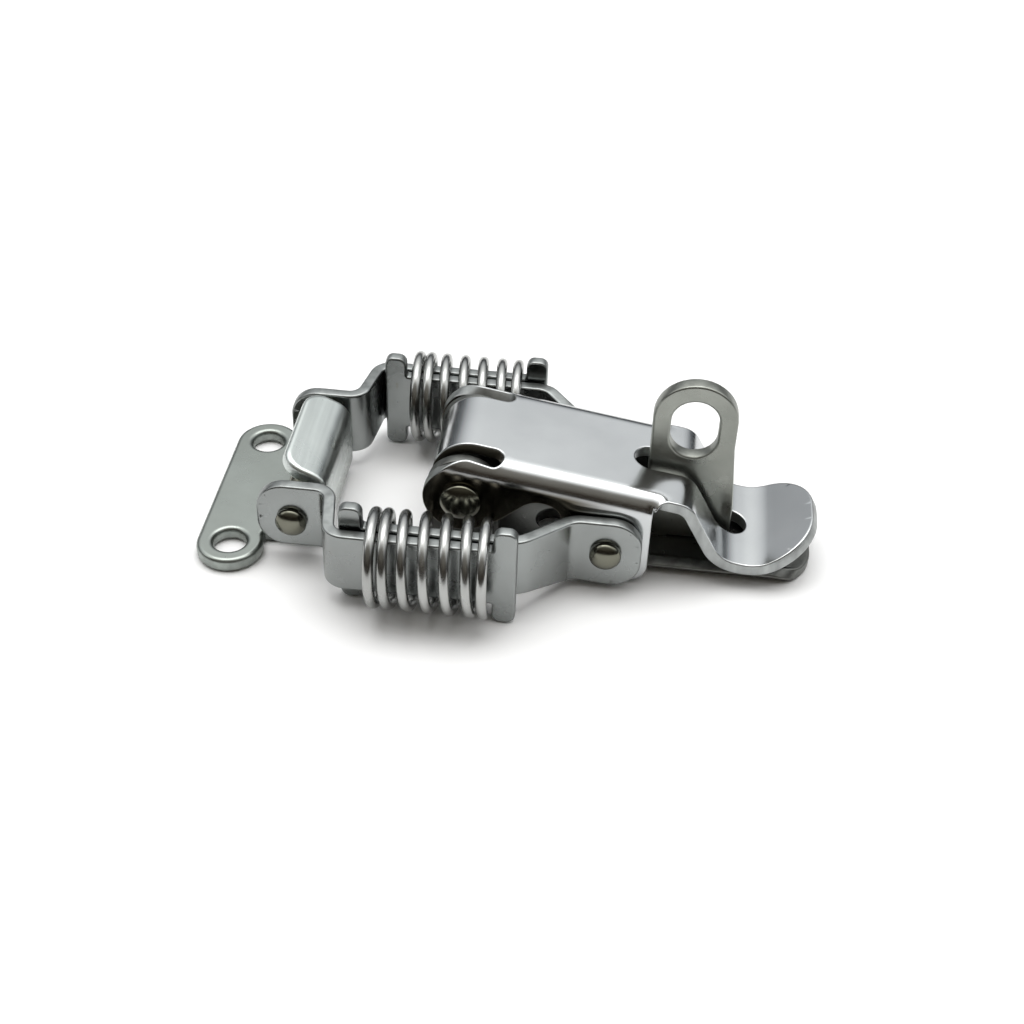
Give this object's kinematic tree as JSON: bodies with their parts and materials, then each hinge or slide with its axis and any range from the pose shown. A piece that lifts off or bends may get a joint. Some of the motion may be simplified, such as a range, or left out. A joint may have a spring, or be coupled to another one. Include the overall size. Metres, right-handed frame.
{
  "type": "toggle bolt latch",
  "caption": "Sheet-steel toggle draw latch with a spring-loaded bail, over-centre lever, hooked strike plate and a padlock staple.",
  "frame": {"origin": "on the mounting plane, under the middle of the lever pivot axis", "axes": "+X from the strike towards the finger tab, +Y to the far side of the symmetric latch, +Z away from the mounting surface"},
  "size_m": [0.0795, 0.0472, 0.0256],
  "materials": {
    "plated_sheet": "satin nickel plate, tumbled edges",
    "polished_sheet": "bright polished nickel plate",
    "worn_sheet": "dull nickel plate with fine scuffs",
    "rivet": "dark domed rivet head",
    "spring_wire": "bright drawn wire"
  },
  "bodies": {
    "base": {"base": "plated_sheet", "staple": "worn_sheet", "pivot_rivet_near": "rivet", "pivot_rivet_far": "rivet"},
    "lever": {"lever": "polished_sheet", "link_rivet_near": "rivet", "link_rivet_far": "rivet"},
    "lever_arms": {"lever_arm_near": "plated_sheet", "lever_arm_far": "plated_sheet", "spring_near": "spring_wire", "spring_far": "spring_wire"},
    "hook_arms": {"hook_arm_near": "plated_sheet", "hook_arm_far": "plated_sheet", "cross_pin": "rivet"},
    "strike": {"strike": "plated_sheet"}
  },
  "joints": [
    {"name": "lever_pivot", "type": "hinge", "parent": "base", "child": "lever", "pos_m": [0, 0, 0.011], "axis": [0, -1, 0], "range_deg": [0, 165]},
    {"name": "bail_turn", "type": "hinge", "parent": "lever", "child": "lever_arms", "pos_m": [0.0186, 0, 0.006], "axis": [0, -1, 0], "range_deg": [-165, 0]},
    {"name": "spring_travel", "type": "slide", "parent": "lever_arms", "child": "hook_arms", "axis": [-1, 0, 0], "range_m": [0, 0.004], "stiffness_N_per_m": 6000, "deforming": ["spring_near", "spring_far"]},
    {"name": "strike_unhook", "type": "slide", "parent": "hook_arms", "child": "strike", "axis": [1, 0, 0], "range_m": [0, 0.007]}
  ],
  "couplings": [
    {"joint": "bail_turn", "follows": "lever_pivot", "ratio": -1}
  ]
}
